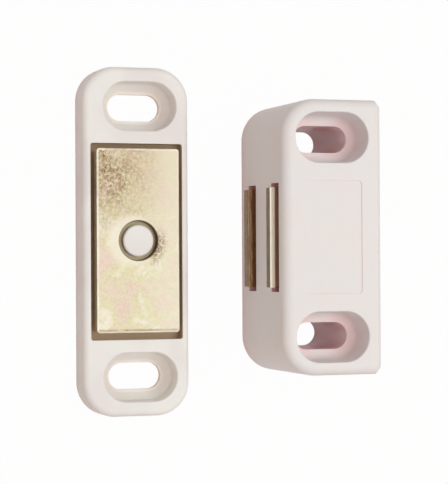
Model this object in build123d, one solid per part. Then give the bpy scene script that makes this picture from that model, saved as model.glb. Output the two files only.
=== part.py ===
from build123d import *
import os

# Magnetic catch for a cabinet door: the magnet body and its strike, side by side on their mounting faces.
# Millimetres, +Z up out of the mounting faces, +Y along both pieces. The origin is the middle of the
# set's footprint on the mounting plane. Each half is modelled in a frame of its own: the magnet body with
# its pole face on X = 0, and the strike with its middle on X = 0. Then each half is put in its place.

# The set
HALF_GAP = 10.9  # from the strike's side to the pole face
BODY_RAISE = 0.5  # the magnet body lies this much further along Y than the strike

# Magnet housing
BODY_LENGTH = 44.4
BODY_WIDTH = 17.0  # pole face to rear face
BODY_THICKNESS = 20.0  # mounting face to slotted face
POLE_CORNER_R = 5.8
FRONT_EDGE_R = 1.7  # round edge between the pole face, the ends and the slotted face
REAR_CORNER_CHAMFER = 0.8
REAR_EDGE_R = 0.3
POLE_WALL = 2.0
REAR_WALL = 1.8
TOP_WALL = 2.3  # over the magnet chamber
PANEL_END_LAND = 2.8  # from a screw recess to the shallow panel between them
PANEL_SIDE_LAND = 3.5  # from the pole face and the rear face to the panel
PANEL_DEPTH = 0.15
PANEL_CORNER_R = 0.6

# Magnet pack
MAGNET_THICKNESS = 8.7  # pole to pole
MAGNET_LENGTH = 16.0
POLE_PLATE_THICKNESS = 2.0
POLE_PLATE_LENGTH = 16.2
POLE_PROUD = 0.95  # how far the pole plates stand out of the pole face
POLE_EDGE_BREAK = 0.15
POLE_FLOAT = 1.3  # free height over a pole plate in its slot
POLE_SEAT_CLEARANCE = 0.2  # under a pole plate in its slot
POLE_END_CLEARANCE = 0.65  # at each end of a pole plate in its slot
CHAMBER_END_CLEARANCE = 1.1  # at each end of the pack inside the chamber
MAGNET_FRONT_CLEARANCE = 0.4  # between the magnet and the pole wall
PACK_REAR_CLEARANCE = 1.0  # behind the pack, which takes up its press travel

# Snap nibs that keep the pack in the chamber
NIB_WIDTH = 3.0
NIB_SPACING = 10.0
NIB_HEIGHT = 1.8
NIB_OVERLAP = 0.4  # how far a nib reaches under the lower pole plate
NIB_CLEARANCE = 0.7  # between a nib and the lower pole plate

# Screw slots of the magnet housing
BODY_SCREW_END = 6.2  # from each end to a slot's middle, for a spacing of 32
BODY_POLE_LAND = 2.1  # from the pole face to a recess
BODY_REAR_LAND = 2.3  # from a recess to the rear face
BODY_RECESS_WIDTH = 8.2
BODY_RECESS_DEPTH = 5.6
BODY_SLOT_WIDTH = 4.4
BODY_SLOT_LEDGE = 1.65  # from the end of a recess to the end of its slot

# Strike holder
STRIKE_LENGTH = 57.0
STRIKE_WIDTH = 18.0
STRIKE_THICKNESS = 5.0
STRIKE_CORNER_R = 5.5
STRIKE_EDGE_R = 1.2
POCKET_WEB = 2.05  # from a screw recess to the pocket
POCKET_WALL = 1.25  # beside the pocket
POCKET_CORNER_R = 0.4

# Screw slots of the strike holder
STRIKE_SCREW_END = 6.4  # from each end to a slot's middle
STRIKE_OUTER_LAND = 3.35  # from the outer side to a recess
STRIKE_INNER_LAND = 2.15  # from a recess to the side that faces the magnet body
STRIKE_RECESS_WIDTH = 8.1
STRIKE_SLOT_WIDTH = 4.4
STRIKE_SLOT_LEDGE = 1.8  # from the end of a recess to the end of its slot
STRIKE_FLOOR = 1.0  # thickness under the screw head

# Both halves: the dished screw recess
RECESS_DRAFT = 4.0  # degrees
RECESS_FOOT = 1.1  # a round foot in the deep recess, a bevel in the shallow one
RIM_BREAK = 0.12  # chamfer on the rim of a recess

# Strike plate and the staked post that holds it
PLATE_SIDE_CLEARANCE = 0.8
PLATE_END_CLEARANCE = 1.05
PLATE_OFFSET = 0.15  # the plate sits this much off the pocket's middle, along Y
PLATE_THICKNESS = 2.0
PLATE_PROUD = 1.0  # how far the plate stands out of the holder's face
PLATE_CORNER_R = 0.5
PLATE_EDGE_BREAK = 0.15
ROCK_CLEARANCE = 0.15  # between the boss and the plate
ROCK_DEPTH = 1.4  # from the plate's underside to the pocket floor
BOSS_D = 5.6
POST_D = 3.6
POST_CLEARANCE = 0.5
HEAD_D = 5.1
HEAD_EDGE_BREAK = 0.2
HEAD_GAP = 0.7  # round the head, in the plate's counterbore
HEAD_SEAT_CLEARANCE = 0.2  # under the head
COUNTERBORE_DEPTH = 1.0

# Screw recesses and what lies between them
body_pitch = BODY_LENGTH - 2 * BODY_SCREW_END
body_recess_length = BODY_WIDTH - BODY_POLE_LAND - BODY_REAR_LAND
body_screw_x = BODY_POLE_LAND + body_recess_length / 2
panel_length = body_pitch - BODY_RECESS_WIDTH - 2 * PANEL_END_LAND
panel_width = BODY_WIDTH - 2 * PANEL_SIDE_LAND
strike_pitch = STRIKE_LENGTH - 2 * STRIKE_SCREW_END
strike_recess_length = STRIKE_WIDTH - STRIKE_OUTER_LAND - STRIKE_INNER_LAND
strike_screw_x = (STRIKE_OUTER_LAND - STRIKE_INNER_LAND) / 2
pocket_length = strike_pitch - STRIKE_RECESS_WIDTH - 2 * POCKET_WEB
pocket_width = STRIKE_WIDTH - 2 * POCKET_WALL

# Levels in the magnet body
ceiling = BODY_THICKNESS - TOP_WALL
pole_slot_height = POLE_SEAT_CLEARANCE + POLE_PLATE_THICKNESS + POLE_FLOAT
pole_pitch = MAGNET_THICKNESS + POLE_PLATE_THICKNESS
upper_slot_floor = ceiling - pole_slot_height
lower_slot_floor = upper_slot_floor - pole_pitch
upper_plate_floor = upper_slot_floor + POLE_SEAT_CLEARANCE
lower_plate_floor = lower_slot_floor + POLE_SEAT_CLEARANCE
chamber_length = POLE_PLATE_LENGTH + 2 * CHAMBER_END_CLEARANCE
chamber_rear = BODY_WIDTH - REAR_WALL
pack_rear = chamber_rear - PACK_REAR_CLEARANCE

# Levels in the strike
plate_top = STRIKE_THICKNESS + PLATE_PROUD
plate_floor = plate_top - PLATE_THICKNESS
pocket_floor = plate_floor - ROCK_DEPTH

# Places of the two halves
set_width = STRIKE_WIDTH + HALF_GAP + BODY_WIDTH
strike_place = Pos((STRIKE_WIDTH - set_width) / 2, 0, 0)
body_place = Pos(set_width / 2 - BODY_WIDTH, BODY_RAISE, 0)


def block(length_x, length_y, bottom, top, at_x=0.0):
    """Box that starts at at_x, lies across the Y middle and reaches from bottom to top."""
    box = Box(length_x, length_y, top - bottom, align=(Align.MIN, Align.CENTER, Align.MIN))
    return Pos(at_x, 0, bottom) * box


def screw_slot(recess_length, recess_width, depth, slot_width, ledge, face, ease_foot):
    """Cutter for one screw slot that runs across: a drafted recess with an eased foot, and the slot."""
    rim = Pos(0, 0, face) * SlotOverall(recess_length, recess_width)
    recess = extrude(rim, -depth, taper=RECESS_DRAFT)
    recess = ease_foot(recess.edges().group_by(Axis.Z)[0], RECESS_FOOT)
    slot = extrude(SlotOverall(recess_length - 2 * ledge, slot_width), face)
    return recess + slot


def slotted_body(solid, cutter, pitch, at_x):
    """Cut a pair of screw slots and break the rims of their recesses."""
    for side in (-1, 1):
        solid -= Pos(at_x, side * pitch / 2, 0) * cutter
    face = solid.faces().sort_by(Axis.Z)[-1]
    rims = [edge for wire in face.inner_wires() for edge in wire.edges()]
    return chamfer(rims, RIM_BREAK)


def housing_shell():
    """Outer form of the magnet housing: round corners on the pole side and square ones at the rear."""
    outline = Rectangle(BODY_WIDTH, BODY_LENGTH, align=(Align.MIN, Align.CENTER))
    outline = fillet(outline.vertices().group_by(Axis.X)[0], POLE_CORNER_R)
    shell = extrude(outline, BODY_THICKNESS)
    rim = shell.edges().group_by(Axis.Z)[-1]
    shell = fillet(rim.sort_by(Axis.X)[0:-1], FRONT_EDGE_R)
    rear_corners = shell.edges().filter_by(Axis.Z).group_by(Axis.X)[-1]
    shell = chamfer(rear_corners, REAR_CORNER_CHAMFER)
    rear_rim = shell.faces().sort_by(Axis.X)[-1].edges().sort_by(Axis.Z)[-1]
    return fillet(rear_rim, REAR_EDGE_R)


def snap_nib():
    """Nib on the chamber's rear wall: a ramp that the pack snaps past, and a flat ledge on top."""
    reach = PACK_REAR_CLEARANCE + NIB_OVERLAP
    top = lower_plate_floor - NIB_CLEARANCE
    ramp = Polyline((chamber_rear, top - NIB_HEIGHT), (chamber_rear, top), (chamber_rear - reach, top), close=True)
    profile = Plane.XZ * make_face(ramp)
    return extrude(profile, NIB_WIDTH / 2, both=True)


def magnet_housing():
    """One moulding: chamber open to the mounting face, pole slots, dished screw slots and snap nibs."""
    housing = housing_shell()
    cutter = screw_slot(
        body_recess_length,
        BODY_RECESS_WIDTH,
        BODY_RECESS_DEPTH,
        BODY_SLOT_WIDTH,
        BODY_SLOT_LEDGE,
        BODY_THICKNESS,
        fillet,
    )
    housing = slotted_body(housing, cutter, body_pitch, body_screw_x)
    panel = RectangleRounded(panel_width, panel_length, PANEL_CORNER_R)
    panel_level = BODY_THICKNESS - PANEL_DEPTH
    housing -= Pos(BODY_WIDTH / 2, 0, panel_level) * extrude(panel, PANEL_DEPTH)
    housing -= block(chamber_rear - POLE_WALL, chamber_length, 0, ceiling, POLE_WALL)
    slot_length = POLE_PLATE_LENGTH + 2 * POLE_END_CLEARANCE
    for floor in (lower_slot_floor, upper_slot_floor):
        housing -= block(POLE_WALL, slot_length, floor, floor + pole_slot_height)
    for side in (-1, 1):
        housing += Pos(0, side * NIB_SPACING / 2, 0) * snap_nib()
    return housing


def pole_plate(floor):
    """Stamped steel pole plate, from behind the magnet out through its slot in the pole wall."""
    plate = block(pack_rear + POLE_PROUD, POLE_PLATE_LENGTH, floor, floor + POLE_PLATE_THICKNESS, -POLE_PROUD)
    return chamfer(plate.edges(), POLE_EDGE_BREAK)


def ferrite_magnet():
    """Magnet block between the two pole plates."""
    front = POLE_WALL + MAGNET_FRONT_CLEARANCE
    bottom = lower_plate_floor + POLE_PLATE_THICKNESS
    return block(pack_rear - front, MAGNET_LENGTH, bottom, bottom + MAGNET_THICKNESS, front)


def strike_holder():
    """One moulding: pocket for the plate, dished screw slots, and the boss, post and staked head."""
    outline = RectangleRounded(STRIKE_WIDTH, STRIKE_LENGTH, STRIKE_CORNER_R)
    holder = extrude(outline, STRIKE_THICKNESS)
    holder = fillet(holder.edges().group_by(Axis.Z)[-1], STRIKE_EDGE_R)
    cutter = screw_slot(
        strike_recess_length,
        STRIKE_RECESS_WIDTH,
        STRIKE_THICKNESS - STRIKE_FLOOR,
        STRIKE_SLOT_WIDTH,
        STRIKE_SLOT_LEDGE,
        STRIKE_THICKNESS,
        chamfer,
    )
    holder = slotted_body(holder, cutter, strike_pitch, strike_screw_x)
    pocket = RectangleRounded(pocket_width, pocket_length, POCKET_CORNER_R)
    holder -= Pos(0, 0, pocket_floor) * extrude(pocket, STRIKE_THICKNESS - pocket_floor)
    boss_top = plate_floor - ROCK_CLEARANCE
    head_floor = plate_top - COUNTERBORE_DEPTH + HEAD_SEAT_CLEARANCE
    boss = Pos(0, 0, pocket_floor) * extrude(Circle(BOSS_D / 2), boss_top - pocket_floor)
    post = Pos(0, 0, boss_top) * extrude(Circle(POST_D / 2), head_floor - boss_top)
    head = Pos(0, 0, head_floor) * extrude(Circle(HEAD_D / 2), plate_top - head_floor)
    head = chamfer(head.edges().group_by(Axis.Z)[-1], HEAD_EDGE_BREAK)
    return holder + Pos(0, PLATE_OFFSET, 0) * (boss + post + head)


def strike_plate():
    """Steel plate that rocks on the holder's boss, with a counterbored hole round the staked head."""
    width = pocket_width - 2 * PLATE_SIDE_CLEARANCE
    length = pocket_length - 2 * PLATE_END_CLEARANCE
    plate = Pos(0, 0, plate_floor) * extrude(RectangleRounded(width, length, PLATE_CORNER_R), PLATE_THICKNESS)
    for level in (0, -1):
        plate = chamfer(plate.edges().group_by(Axis.Z)[level], PLATE_EDGE_BREAK)
    hole_r = POST_D / 2 + POST_CLEARANCE
    counterbore_r = HEAD_D / 2 + HEAD_GAP
    plate -= Pos(0, 0, plate_floor) * extrude(Circle(hole_r), PLATE_THICKNESS)
    plate -= Pos(0, 0, plate_top - COUNTERBORE_DEPTH) * extrude(Circle(counterbore_r), COUNTERBORE_DEPTH)
    return Pos(0, PLATE_OFFSET, 0) * plate


def main():
    os.makedirs("parts", exist_ok=True)
    nodes = {
        "magnet_housing": body_place * magnet_housing(),
        "ferrite_magnet": body_place * ferrite_magnet(),
        "lower_pole_plate": body_place * pole_plate(lower_plate_floor),
        "upper_pole_plate": body_place * pole_plate(upper_plate_floor),
        "strike_holder": strike_place * strike_holder(),
        "strike_plate": strike_place * strike_plate(),
    }
    for name, shape in nodes.items():
        export_step(shape, f"parts/{name}.step")


main()
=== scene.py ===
from math import pi, radians

import bpy
from bpy.props import FloatProperty, FloatVectorProperty, PointerProperty, StringProperty
from mathutils import Matrix, Vector


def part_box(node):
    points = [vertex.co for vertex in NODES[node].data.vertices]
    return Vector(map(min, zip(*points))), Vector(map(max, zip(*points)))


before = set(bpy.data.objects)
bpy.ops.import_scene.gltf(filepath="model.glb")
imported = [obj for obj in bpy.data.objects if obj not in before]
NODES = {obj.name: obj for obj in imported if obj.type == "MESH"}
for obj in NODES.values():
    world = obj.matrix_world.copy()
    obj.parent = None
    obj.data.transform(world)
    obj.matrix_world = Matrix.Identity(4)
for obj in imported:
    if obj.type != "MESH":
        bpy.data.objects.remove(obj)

bl_info = {
    "name": "Magnetic catch",
    "version": (1, 0, 0),
    "blender": (4, 5, 0),
    "location": "View3D > Sidebar > Magnetic catch",
    "description": "Finishes the moulded halves, passivated plates and ferrite magnet of a cabinet catch",
    "category": "Object",
}

MM = 0.001

# Sockets of the mix node that carry colours
COLOUR_A, COLOUR_B, COLOUR_RESULT = 6, 7, 2

# Millimetres on the strike plate, the holder's pocket round it and the pole plates
COUNTERBORE_R = 3.25
POCKET_GAP = 1.05
POCKET_LIP = 0.15
SHEARED_DEPTH = 0.16
SLOT_SHADE_FROM = 0.7
SLOT_SHADE_FULL = 0.84

# Shares and levels
SMOKE_SHARE = 0.95
HALO_SHARE = 0.8
SCUFF_SHARE = 0.85
SLOT_SHADE_SHARE = 0.85
PLATING_METALLIC = 0.9
TABLE_SEEN_WHITE = 0.98
TABLE_GLOW = 0.04

# How much of each pole plate the copper-brown film takes. The lower plate's full share is painted shade, as
# it lies in the shade of the upper plate; the streaks themselves are the film's own colour.
COPPER_AND_SHADE_SHARES = {"lower_pole_plate": 1.0, "upper_pole_plate": 0.12}

# The studio: lengths in metres, directions from the object, and the camera's sensor in millimetres
TABLE_HALF_SIDE = 3.0
TABLE_DROP = 0.02 * MM
KEY_TOWARDS = (0.32, 0.02, 1.0)
FILL_TOWARDS = (-0.6, -0.5, 1.0)
NEAREST_SEEN = 0.01
SENSOR_WIDTH = 36.0

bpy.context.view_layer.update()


def linear(hex_colour):
    """sRGB hex colour as linear red, green, blue and alpha."""
    parts = [int(hex_colour[i : i + 2], 16) / 255 for i in (1, 3, 5)]
    return tuple(c / 12.92 if c <= 0.04045 else ((c + 0.055) / 1.055) ** 2.4 for c in parts) + (1.0,)


# Node trees


def add(tree, kind, links=None, **settings):
    """Add a node. Settings are its own properties, `inputs` holds the constants of its
    sockets, and links joins sockets, by name or number, to what feeds them."""
    node = tree.nodes.new(kind)
    for key, value in settings.items():
        if key == "inputs":
            for name, number in value.items():
                node.inputs[name].default_value = number
        else:
            setattr(node, key, value)
    for name, source in (links or {}).items():
        tree.links.new(source, node.inputs[name])
    return node


def new_material(name):
    """Empty material with its node tree."""
    material = bpy.data.materials.new(name)
    material.use_nodes = True
    material.node_tree.nodes.clear()
    return material, material.node_tree


def object_mm(tree, centre=(0.0, 0.0, 0.0), stretch=(1.0, 1.0, 1.0)):
    """Object coordinates in millimetres from a centre given in metres, stretched along each axis."""
    coordinates = add(tree, "ShaderNodeTexCoord")
    scale = tuple(1 / (MM * s) for s in stretch)
    offset = tuple(-c * k for c, k in zip(centre, scale))
    mapping = add(
        tree,
        "ShaderNodeMapping",
        {"Vector": coordinates.outputs["Object"]},
        inputs={"Location": offset, "Scale": scale},
    )
    return mapping.outputs["Vector"]


def noise(tree, vector, size_mm, detail=2.0, roughness=0.5, distortion=0.0):
    """Noise whose features are about size_mm across."""
    node = add(
        tree,
        "ShaderNodeTexNoise",
        {"Vector": vector},
        inputs={"Scale": 1 / size_mm, "Detail": detail, "Roughness": roughness, "Distortion": distortion},
    )
    return node.outputs["Fac"]


def span(tree, value, low, high, out_low=0.0, out_high=1.0):
    """Map low..high onto out_low..out_high, smoothly and clamped."""
    node = add(
        tree,
        "ShaderNodeMapRange",
        {"Value": value},
        interpolation_type="SMOOTHSTEP",
        inputs={"From Min": low, "From Max": high, "To Min": out_low, "To Max": out_high},
    )
    return node.outputs["Result"]


def calc(tree, operation, first, second=0.0):
    """One math node: each operand is a socket or a number."""
    node = add(tree, "ShaderNodeMath", operation=operation)
    for socket, operand in zip(node.inputs, (first, second)):
        if isinstance(operand, (int, float)):
            socket.default_value = operand
        else:
            tree.links.new(operand, socket)
    return node.outputs["Value"]


def ramp(tree, value, stops):
    """Colour ramp from (position, hex colour) stops."""
    node = add(tree, "ShaderNodeValToRGB", {"Fac": value})
    elements = node.color_ramp.elements
    while len(elements) < len(stops):
        elements.new(0.5)
    for element, (position, colour) in zip(elements, stops):
        element.position = position
        element.color = linear(colour)
    return node.outputs["Color"]


def blend(tree, factor, first, second):
    """Mix two colours, each a socket or a hex string, by a factor socket."""
    node = add(tree, "ShaderNodeMix", {0: factor}, data_type="RGBA")
    for index, colour in ((COLOUR_A, first), (COLOUR_B, second)):
        if isinstance(colour, str):
            node.inputs[index].default_value = linear(colour)
        else:
            tree.links.new(colour, node.inputs[index])
    return node.outputs[COLOUR_RESULT]


def product(tree, *factors):
    """Several sockets or numbers multiplied together."""
    total = factors[0]
    for factor in factors[1:]:
        total = calc(tree, "MULTIPLY", total, factor)
    return total


def bump(tree, height, depth_mm, below=None):
    """Bump from a 0..1 height that stands for depth_mm, over another bump."""
    links = {"Height": height}
    if below is not None:
        links["Normal"] = below
    node = add(tree, "ShaderNodeBump", links, inputs={"Strength": 1.0, "Distance": depth_mm * MM})
    return node.outputs["Normal"]


def axis_of(tree, vector):
    """Separate a vector into its X, Y and Z."""
    return add(tree, "ShaderNodeSeparateXYZ", {"Vector": vector}).outputs


def surface(tree, colour, roughness, normal, constants):
    """Principled surface and output, with the constants set on the shader's own sockets."""
    links = {"Base Color": colour, "Roughness": roughness, "Normal": normal}
    shader = add(tree, "ShaderNodeBsdfPrincipled", links, inputs=constants)
    add(tree, "ShaderNodeOutputMaterial", {"Surface": shader.outputs["BSDF"]})


def seen_directly(tree):
    """1 for what the camera, shiny metal and clear pieces see, and 0 for light that falls on surfaces."""
    path = add(tree, "ShaderNodeLightPath").outputs
    seen = calc(tree, "ADD", path["Is Camera Ray"], path["Is Glossy Ray"])
    seen = calc(tree, "ADD", seen, path["Is Transmission Ray"])
    return calc(tree, "MINIMUM", seen, 1.0)


# Materials


def moulded_plastic(colours, node, body_colour, hollow_shade_colour):
    """Injection-moulded white ABS with a spark-eroded satin: light enters it a little, the grain is
    very fine, and the faces sink slowly where the walls are thick."""
    material, tree = new_material("satin_moulded_white_abs_" + node)
    place = object_mm(tree)
    tint = span(tree, noise(tree, place, 7.0, 1.0), 0.35, 0.65)
    colour = blend(tree, tint, body_colour, colours.plastic_tint)
    cloud = span(tree, noise(tree, place, 2.2, 2.0), 0.45, 0.8, 0.0, 0.35)
    colour = blend(tree, cloud, colour, colours.plastic_cool)
    # painted shade: the hollows, found by ambient occlusion, are tinted warm, as light that has crossed some
    # of the plastic comes out warm there
    shelter = add(tree, "ShaderNodeAmbientOcclusion", samples=12, inputs={"Distance": 6.0 * MM})
    deep = span(tree, shelter.outputs["AO"], 0.82, 0.2)
    colour = blend(tree, deep, colour, hollow_shade_colour)
    # painted shade and painted reflection: the pocket's walls round the plate are browned, as they lie in
    # the gap's shade and take the gold plate's colour
    colour = blend(tree, product(tree, pocket_mask(tree), 0.8), colour, colours.pocket_shade_and_reflection)
    grain = noise(tree, place, 0.16, 2.0, 0.6)
    sinks = noise(tree, place, 5.0, 0.0)
    normal = bump(tree, grain, 0.004, bump(tree, sinks, 0.05))
    gloss = span(tree, grain, 0.3, 0.7, 0.4, 0.52)
    constants = {
        "IOR": 1.53,
        "Subsurface Weight": 0.3,
        "Subsurface Radius": (1.0, 0.84, 0.8),
        "Subsurface Scale": 0.7 * MM,
    }
    surface(tree, colour, gloss, normal, constants)
    return material


def pocket_mask(tree):
    """1 in the strike holder's pocket round the plate and below the holder's face, and 0 elsewhere."""
    centre, half = strike_plate_middle()
    x, y, z = axis_of(tree, object_mm(tree, centre))
    reach = POCKET_GAP + POCKET_LIP
    within = [
        span(tree, calc(tree, "ABSOLUTE", along), size + reach, size + reach - 0.05)
        for along, size in ((x, half.x), (y, half.y))
    ]
    return product(tree, *within, span(tree, z, -0.12, -0.3))


def strike_plate_middle():
    """Centre of the strike plate in metres, and half its size in millimetres."""
    low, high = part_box("strike_plate")
    return (low + high) / 2, (high - low) / 2 / MM


def passivated_base(tree, place, fine, colours):
    """Straw-coloured chromate film on zinc, with the drifting green and pink of a thin film."""
    film = noise(tree, place, 5.0, 2.0, 0.55, 0.8)
    stops = (
        (0.32, colours.film_pink),
        (0.44, colours.film_straw),
        (0.54, colours.film_green),
        (0.66, colours.film_pale),
    )
    colour = ramp(tree, film, stops)
    speck = span(tree, fine, 0.42, 0.66, 0.0, 0.25)
    return blend(tree, speck, colour, colours.film_deep)


def strike_plate_steel(colours):
    """Rolled steel, zinc plated and yellow passivated: pale gold, with fine rolling lines along the plate,
    smoked at one corner, pale round the hole, with painted shade in the counterbore, along its rim and along
    the lower end, and a painted highlight along its stamped edges."""
    material, tree = new_material("yellow_passivated_rolled_steel")
    centre, half = strike_plate_middle()
    place = object_mm(tree, centre)
    fine = noise(tree, place, 0.4, 3.0, 0.7)
    drift = noise(tree, place, 3.2, 3.0, 0.6)
    colour = passivated_base(tree, place, fine, colours)
    colour = smoked(tree, colour, place, half, drift, colours)
    colour = hole_wear_and_shade(tree, colour, place, colours)
    colour = edge_highlight_and_foot_shade(tree, colour, place, half, drift, colours)
    rolled = noise(tree, object_mm(tree, centre, (0.12, 6.0, 1.0)), 1.0, 2.0)
    normal = bump(tree, fine, 0.006, bump(tree, rolled, 0.004))
    gloss = span(tree, fine, 0.3, 0.7, 0.3, 0.46)
    surface(tree, colour, gloss, normal, {"Metallic": PLATING_METALLIC})
    return material


def smoked(tree, colour, place, half, drift, colours):
    """Brown towards one corner: one end is warmer, and one of its corners is broken into brown grains. The
    side away from that corner stays pale."""
    x, y, _ = axis_of(tree, place)
    warm_end = span(tree, y, -half.y * 0.2, half.y, 0.0, 0.55)
    colour = blend(tree, warm_end, colour, colours.film_tan)
    pale_side = span(tree, x, -half.x * 0.3, half.x, 0.0, 0.55)
    colour = blend(tree, pale_side, colour, colours.film_pale)
    across = span(tree, x, half.x * 0.85, -half.x * 0.9)
    along = span(tree, y, -half.y * 0.15, half.y * 0.8)
    uneven = span(tree, drift, 0.3, 0.62, 0.35, 1.0)
    grains = span(tree, noise(tree, place, 0.55, 3.0, 0.75, 0.4), 0.36, 0.62)
    smoke = product(tree, across, along, uneven, grains, SMOKE_SHARE)
    return blend(tree, smoke, colour, colours.brown_film_and_shade)


def hole_wear_and_shade(tree, colour, place, colours):
    """A pale halo that reaches farther towards minus X, scuffs on one side of it, and painted shade on the
    counterbore's floor and along its rim, where the gap round the hole lies in shade.
    """
    x, y, _ = axis_of(tree, place)
    flat = add(tree, "ShaderNodeCombineXYZ", {"X": x, "Y": y}).outputs["Vector"]
    reach = add(tree, "ShaderNodeVectorMath", {0: flat}, operation="LENGTH").outputs["Value"]
    shifted = calc(tree, "ADD", reach, product(tree, x, 0.25))
    halo = product(tree, span(tree, shifted, 4.7, 3.2), HALO_SHARE)
    colour = blend(tree, halo, colour, colours.film_pale)
    scuff_side = (span(tree, x, 1.6, 2.8), span(tree, reach, 5.4, 3.4), span(tree, y, 2.8, -0.5))
    scuff_grain = span(tree, noise(tree, place, 0.5, 3.0, 0.7), 0.4, 0.55)
    scuff = product(tree, *scuff_side, scuff_grain, SCUFF_SHARE)
    colour = blend(tree, scuff, colour, colours.brown_film_and_shade)
    # painted shade: the counterbore's floor is darkened and a dark line laid along its rim
    floor = span(tree, reach, COUNTERBORE_R + 0.02, COUNTERBORE_R - 0.1)
    colour = blend(tree, product(tree, floor, 0.8), colour, colours.counterbore)
    off_rim = calc(tree, "ABSOLUTE", calc(tree, "SUBTRACT", reach, COUNTERBORE_R))
    rim = product(tree, span(tree, off_rim, 0.17, 0.05), 0.8)
    return blend(tree, rim, colour, colours.outline)


def edge_highlight_and_foot_shade(tree, colour, place, half, drift, colours):
    """Painted highlight along the edges, where they would catch the light, and painted shade in brown along
    the lower end.
    """
    x, y, _ = axis_of(tree, place)
    margin_x = calc(tree, "SUBTRACT", half.x, calc(tree, "ABSOLUTE", x))
    margin_y = calc(tree, "SUBTRACT", half.y, calc(tree, "ABSOLUTE", y))
    margin = calc(tree, "MINIMUM", margin_x, margin_y)
    # painted shade along the lower end
    foot = span(tree, calc(tree, "ADD", y, half.y), 0.75, 0.3, 0.0, 0.8)
    foot_shade = product(tree, foot, span(tree, drift, 0.3, 0.6))
    colour = blend(tree, foot_shade, colour, colours.brown_film_and_shade)
    # painted highlight along the edges
    bright = product(tree, span(tree, margin, 0.36, 0.18), span(tree, drift, 0.3, 0.6, 0.15, 0.9))
    return blend(tree, bright, colour, colours.film_highlight)


def pole_plate_steel(colours, node, copper_and_shade_share):
    """Stamped steel, zinc plated and yellow passivated: gold on the rolled faces, with a share of
    copper-brown streaks that differs from plate to plate, larger on the lower plate as painted shade, and
    with the sheared end faces painted olive brown for shade, over torn streaks of their own."""
    material, tree = new_material("yellow_passivated_stamped_steel_" + node)
    low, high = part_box(node)
    thick = (high.z - low.z) / MM
    place = object_mm(tree, (low.x, 0.0, low.z))
    x, _, z = axis_of(tree, place)
    fine = noise(tree, place, 0.3, 3.0, 0.7)
    streaks = noise(tree, object_mm(tree, (low.x, 0.0, 0.0), (0.25, 2.6, 0.25)), 1.0, 3.0, 0.65)
    colour = passivated_base(tree, place, fine, colours)
    # painted shade: the lower plate takes the full share of copper brown, as it lies in shade
    copper = span(tree, streaks, 0.3, 0.66, copper_and_shade_share * 0.5, copper_and_shade_share)
    colour = blend(tree, copper, colour, colours.film_copper_and_shade)
    # painted shade: the sheared end face is dark olive brown, as it faces away from the light; its torn
    # streaks are its own
    edge = span(tree, x, SHEARED_DEPTH, 0.05)
    sheared = blend(tree, span(tree, streaks, 0.35, 0.65), colours.shear_dark_shade, colours.shear_olive_shade)
    colour = blend(tree, edge, colour, sheared)
    # painted highlight on the upper face, strongest on the upper plate, down to the painted shade where the
    # plate enters its slot
    upper = span(tree, z, thick - 0.28, thick - 0.14)
    highlight = product(tree, upper, span(tree, streaks, 0.25, 0.5, 0.6, 1.0), 1.0 - copper_and_shade_share)
    colour = blend(tree, highlight, colour, colours.film_highlight)
    # painted shade: the plate darkens where it enters its slot, for the dark gap beside it
    slot_mouth_shade = product(tree, span(tree, x, SLOT_SHADE_FROM, SLOT_SHADE_FULL), SLOT_SHADE_SHARE)
    colour = blend(tree, slot_mouth_shade, colour, colours.slot_mouth_shade)
    normal = bump(tree, fine, 0.006, bump(tree, streaks, 0.02))
    gloss = span(tree, fine, 0.3, 0.7, 0.32, 0.5)
    surface(tree, colour, gloss, normal, {"Metallic": PLATING_METALLIC})
    return material


def ground_ferrite(colours):
    """Sintered hard ferrite, ground flat: nearly black, matt, with fine pits and a faint sparkle."""
    material, tree = new_material("ground_sintered_ferrite")
    place = object_mm(tree)
    grit = noise(tree, place, 0.25, 3.0, 0.7)
    colour = blend(tree, span(tree, grit, 0.3, 0.7), colours.ferrite, colours.ferrite_grit)
    gloss = span(tree, grit, 0.3, 0.7, 0.5, 0.75)
    surface(tree, colour, gloss, bump(tree, grit, 0.01), {"IOR": 1.8})
    return material


def studio_floor(colours):
    """Pale table: white as the camera and shiny metal see it, with a little of the real shadow left in,
    and warm where it throws light back at the sides of the object."""
    material, tree = new_material("pale_table")
    share = product(tree, seen_directly(tree), TABLE_SEEN_WHITE)
    board = add(tree, "ShaderNodeBsdfDiffuse", inputs={"Color": linear(colours.table)})
    glow = add(tree, "ShaderNodeEmission", inputs={"Color": linear(colours.table), "Strength": TABLE_GLOW})
    lit = add(tree, "ShaderNodeAddShader", {0: board.outputs["BSDF"], 1: glow.outputs["Emission"]})
    white = add(tree, "ShaderNodeEmission", inputs={"Color": linear(colours.backdrop), "Strength": 1.0})
    parts = {0: share, 1: lit.outputs["Shader"], 2: white.outputs["Emission"]}
    mix = add(tree, "ShaderNodeMixShader", parts)
    add(tree, "ShaderNodeOutputMaterial", {"Surface": mix.outputs["Shader"]})
    return material


def dress(node, material):
    """Give a CAD node its finish."""
    mesh = NODES[node].data
    mesh.materials.clear()
    mesh.materials.append(material)


# Properties


def hex_property(name, description, default):
    return StringProperty(name=name, description=description, default=default, maxlen=7)


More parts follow.
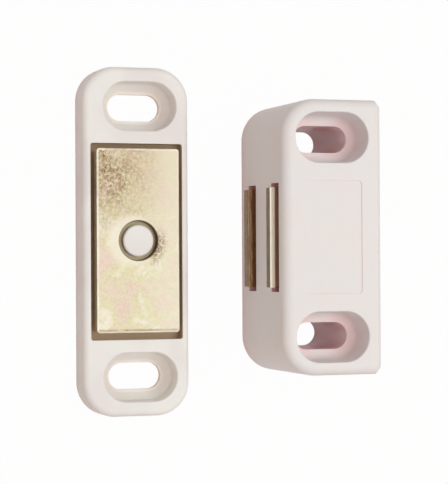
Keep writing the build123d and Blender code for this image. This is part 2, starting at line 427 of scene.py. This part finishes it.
class CatchColours(bpy.types.PropertyGroup):
    """Colours of the catch and its table, as sRGB hex."""

    housing: hex_property("Housing", "Plastic of the magnet housing", "#E9E8E7")
    holder: hex_property("Holder", "Plastic of the strike holder", "#F0F1EB")
    plastic_tint: hex_property("Plastic tint", "Warm drift in the plastic", "#EAE7E4")
    plastic_cool: hex_property("Plastic cool", "Cool clouds in the plastic", "#E9EAE9")
    # housing_hollow_shade and holder_hollow_shade are painted shade, laid into the hollows of each half
    housing_hollow_shade: hex_property("Housing deep", "Plastic deep in the housing's hollows", "#FAD0D3")
    holder_hollow_shade: hex_property("Holder deep", "Plastic deep in the strike holder's hollows", "#E9DCCB")
    # pocket_shade_and_reflection is painted shade and a painted reflection of the plate, on the pocket's
    # walls
    pocket_shade_and_reflection: hex_property("Pocket grime", "Walls of the strike's pocket", "#B79C78")
    film_straw: hex_property("Film straw", "Main colour of the passivated film", "#EBDEC2")
    film_green: hex_property("Film green", "Greenish drift of the film", "#E9E2B8")
    film_pink: hex_property("Film pink", "Pinkish drift of the film", "#F0D8C8")
    film_pale: hex_property("Film pale", "Burnished film", "#F6EEDA")
    film_deep: hex_property("Film deep", "Specks in the film", "#C4B189")
    # brown_film_and_shade is the smoked film and the scuffs, and also the painted shade along the strike
    # plate's lower end
    brown_film_and_shade: hex_property("Film brown", "Smoked film", "#8A684A")
    film_tan: hex_property("Film tan", "Warmer end of the strike plate", "#D8C39C")
    # counterbore and outline are painted shade in the counterbore and along its rim
    counterbore: hex_property("Counterbore", "Floor of the strike plate's counterbore", "#A08D66")
    outline: hex_property("Outline", "Dirt along the counterbore's rim", "#4E3C26")
    # film_highlight is a painted highlight, on the strike plate's edges and on the upper pole plate's upper
    # face
    film_highlight: hex_property("Film rubbed", "Rubbed face of the upper pole plate", "#FFF8E6")
    # slot_mouth_shade is painted shade on the pole plates at the mouths of their slots
    slot_mouth_shade: hex_property("Grime", "Grime on the pole plates at the mouths of their slots", "#8A6747")
    # film_copper_and_shade is the film's copper streaks, laid over the whole lower pole plate as painted
    # shade
    film_copper_and_shade: hex_property("Film copper", "Streaks on the stamped plates", "#A5794F")
    # shear_olive_shade and shear_dark_shade are painted shade on the sheared end faces, streaked as the torn
    # edges are
    shear_olive_shade: hex_property("Shear olive", "Light streaks on the sheared edges", "#84694A")
    shear_dark_shade: hex_property("Shear dark", "Dark streaks on the sheared edges", "#574330")
    ferrite: hex_property("Ferrite", "Body colour of the magnet", "#2A2A2C")
    ferrite_grit: hex_property("Ferrite grit", "Grit in the magnet's ground faces", "#3D3D40")
    table: hex_property("Table", "The table as it throws light back", "#C9B2A8")
    sky: hex_property("Sky", "Light from all round", "#FFF8F5")
    key_light: hex_property("Key light", "Overhead softbox", "#FFFFFF")
    fill_light: hex_property("Fill light", "Warm fill from the strike's side", "#FFDDD6")
    backdrop: hex_property("Backdrop", "The table and background as seen", "#FFFFFF")


class StudioSizes(bpy.types.PropertyGroup):
    """Camera and lamps."""

    lens: FloatProperty(name="Lens", description="Focal length in millimetres", default=134.0, min=10.0)
    aim: FloatVectorProperty(
        name="Aim",
        description="Point on the mounting plane that the camera is aimed at",
        default=(2.74 * MM, -0.04 * MM, 0.0),
        subtype="TRANSLATION",
        unit="LENGTH",
    )
    distance: FloatProperty(
        name="Distance", description="From the aim to the camera", default=0.3036, unit="LENGTH"
    )
    turn: FloatProperty(
        name="Turn", description="Camera's angle towards the strike", default=radians(18.88), subtype="ANGLE"
    )
    tilt: FloatProperty(
        name="Tilt", description="Camera's angle along Y", default=radians(0.6), subtype="ANGLE"
    )
    roll: FloatProperty(
        name="Roll", description="Camera's roll about its own line", default=radians(-0.31), subtype="ANGLE"
    )
    sky: FloatProperty(name="Sky", description="Level of the light from all round", default=0.5, min=0.0)
    key: FloatProperty(name="Key", description="Level of the overhead softbox", default=0.49, min=0.0)
    fill: FloatProperty(
        name="Fill", description="Level of the warm fill from the strike's side", default=0.1, min=0.0
    )
    key_distance: FloatProperty(
        name="Key distance", description="From the object to the softbox", default=0.6, unit="LENGTH"
    )
    key_size: FloatProperty(name="Key size", description="Side of the softbox", default=0.45, unit="LENGTH")


# Operators


class CATCH_OT_plastic(bpy.types.Operator):
    """Finish the magnet housing and the strike holder as moulded plastic"""

    bl_idname = "catch.plastic"
    bl_label = "Moulded halves"

    def execute(self, context):
        colours = context.scene.catch_colours
        housing = moulded_plastic(colours, "magnet_housing", colours.housing, colours.housing_hollow_shade)
        dress("magnet_housing", housing)
        holder = moulded_plastic(colours, "strike_holder", colours.holder, colours.holder_hollow_shade)
        dress("strike_holder", holder)
        return {"FINISHED"}


class CATCH_OT_strike_plate(bpy.types.Operator):
    """Finish the strike plate as passivated rolled steel"""

    bl_idname = "catch.strike_plate"
    bl_label = "Strike plate"

    def execute(self, context):
        dress("strike_plate", strike_plate_steel(context.scene.catch_colours))
        return {"FINISHED"}


class CATCH_OT_magnet_pack(bpy.types.Operator):
    """Finish the pole plates as passivated stamped steel, and the magnet as ground ferrite"""

    bl_idname = "catch.magnet_pack"
    bl_label = "Magnet pack"

    def execute(self, context):
        colours = context.scene.catch_colours
        for node, copper_and_shade_share in COPPER_AND_SHADE_SHARES.items():
            dress(node, pole_plate_steel(colours, node, copper_and_shade_share))
        dress("ferrite_magnet", ground_ferrite(colours))
        return {"FINISHED"}


class CATCH_OT_studio(bpy.types.Operator):
    """Lay the pale table, and set the softbox, the sky and the camera"""

    bl_idname = "catch.studio"
    bl_label = "Studio"

    def execute(self, context):
        context.scene.view_settings.view_transform = "Standard"
        colours = context.scene.catch_colours
        lay_table(colours)
        light_sky(context.scene)
        studio = context.scene.catch_studio
        # the key lies to the rear side of the magnet body, so that the pole face is in shade
        hang_softbox(studio, "key", studio.key, KEY_TOWARDS, colours.key_light)
        hang_softbox(studio, "fill", studio.fill, FILL_TOWARDS, colours.fill_light)
        stand_camera(context.scene)
        return {"FINISHED"}


def lay_table(colours):
    """Flat table just under the mounting faces."""
    signs = ((-1, -1), (1, -1), (1, 1), (-1, 1))
    corners = [(x * TABLE_HALF_SIDE, y * TABLE_HALF_SIDE, -TABLE_DROP) for x, y in signs]
    mesh = bpy.data.meshes.new("table")
    mesh.from_pydata(corners, [], [(0, 1, 2, 3)])
    mesh.materials.append(studio_floor(colours))
    table = bpy.data.objects.new("table", mesh)
    bpy.context.scene.collection.objects.link(table)


def light_sky(scene):
    """Even light from all round, which the camera and shiny metal see as the white backdrop."""
    world = bpy.data.worlds.new("studio_sky")
    world.use_nodes = True
    tree = world.node_tree
    tree.nodes.clear()
    colours = scene.catch_colours
    sky_inputs = {"Color": linear(colours.sky), "Strength": scene.catch_studio.sky}
    sky = add(tree, "ShaderNodeBackground", inputs=sky_inputs)
    white_inputs = {"Color": linear(colours.backdrop), "Strength": 1.0}
    white = add(tree, "ShaderNodeBackground", inputs=white_inputs)
    parts = {0: seen_directly(tree), 1: sky.outputs["Background"], 2: white.outputs["Background"]}
    mix = add(tree, "ShaderNodeMixShader", parts)
    add(tree, "ShaderNodeOutputWorld", {"Surface": mix.outputs["Shader"]})
    scene.world = world


def hang_softbox(studio, name, level, towards, colour):
    """Softbox in a direction from the object. Shiny metal shows the white room instead of it."""
    lamp = bpy.data.lights.new(name, "AREA")
    lamp.shape = "SQUARE"
    lamp.size = studio.key_size
    lamp.energy = level * pi * pi * studio.key_distance**2
    lamp.color = linear(colour)[:3]
    softbox = bpy.data.objects.new(name, lamp)
    towards = Vector(towards).normalized()
    softbox.rotation_euler = towards.to_track_quat("Z", "Y").to_euler()
    softbox.location = towards * studio.key_distance
    softbox.visible_glossy = False
    bpy.context.scene.collection.objects.link(softbox)


def stand_camera(scene):
    """Camera over the set, turned towards the strike's side."""
    studio = scene.catch_studio
    data = bpy.data.cameras.new("camera")
    data.lens = studio.lens
    data.sensor_width = SENSOR_WIDTH
    data.clip_start = NEAREST_SEEN
    turned = Matrix.Rotation(-studio.turn, 4, "Y") @ Matrix.Rotation(studio.tilt, 4, "X")
    turned = turned @ Matrix.Rotation(studio.roll, 4, "Z")
    camera = bpy.data.objects.new("camera", data)
    back = turned @ Vector((0.0, 0.0, 1.0))
    camera.matrix_world = Matrix.Translation(Vector(studio.aim) + back * studio.distance) @ turned
    scene.collection.objects.link(camera)
    scene.camera = camera


class CATCH_PT_panel(bpy.types.Panel):
    """Magnetic catch"""

    bl_idname = "CATCH_PT_panel"
    bl_label = "Magnetic catch"
    bl_space_type = "VIEW_3D"
    bl_region_type = "UI"
    bl_category = "Magnetic catch"

    def draw(self, context):
        for group in (context.scene.catch_colours, context.scene.catch_studio):
            box = self.layout.box()
            for name in group.bl_rna.properties.keys():
                if name not in {"name", "rna_type"}:
                    box.prop(group, name)
        for operator in OPERATORS:
            self.layout.operator(operator.bl_idname)


OPERATORS = (CATCH_OT_plastic, CATCH_OT_strike_plate, CATCH_OT_magnet_pack, CATCH_OT_studio)
CLASSES = (CatchColours, StudioSizes, *OPERATORS, CATCH_PT_panel)


def register():
    for cls in CLASSES:
        bpy.utils.register_class(cls)
    bpy.types.Scene.catch_colours = PointerProperty(type=CatchColours)
    bpy.types.Scene.catch_studio = PointerProperty(type=StudioSizes)


def unregister():
    del bpy.types.Scene.catch_studio
    del bpy.types.Scene.catch_colours
    for cls in reversed(CLASSES):
        bpy.utils.unregister_class(cls)


def main():
    register()
    bpy.ops.catch.plastic()
    bpy.ops.catch.strike_plate()
    bpy.ops.catch.magnet_pack()
    bpy.ops.catch.studio()


if __name__ == "__main__":
    main()
